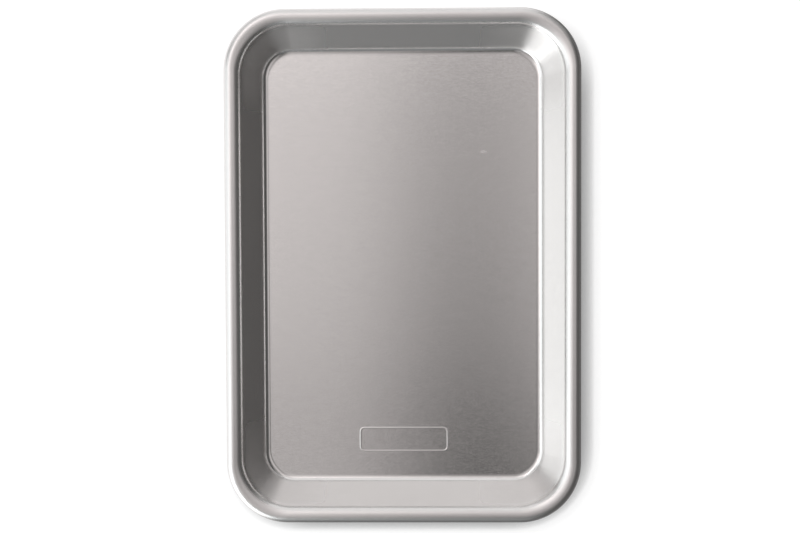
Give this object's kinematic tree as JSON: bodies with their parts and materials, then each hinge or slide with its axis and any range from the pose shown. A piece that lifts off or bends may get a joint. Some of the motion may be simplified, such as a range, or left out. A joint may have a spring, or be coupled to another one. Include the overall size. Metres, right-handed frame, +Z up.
{
  "type": "sheet pan",
  "caption": "Shallow rectangular aluminium sheet pan with round corners, sloping sides, a flat floor with a blank raised frame, and an edge rolled around a steel wire.",
  "frame": {"origin": "middle of the floor's flat underside, which is what the pan stands on", "axes": "+Z up out of the pan, +Y along its length, away from the end with the raised frame, +X across it"},
  "size_m": [0.181, 0.2616, 0.0254],
  "materials": {
    "satin_aluminium": "bare drawn sheet with a fine satin rolling grain across the pan",
    "galvanised_wire": "dull zinc-coated wire"
  },
  "bodies": {
    "root": {"pan_sheet": "satin_aluminium", "rim_wire": "galvanised_wire"}
  },
  "joints": []
}
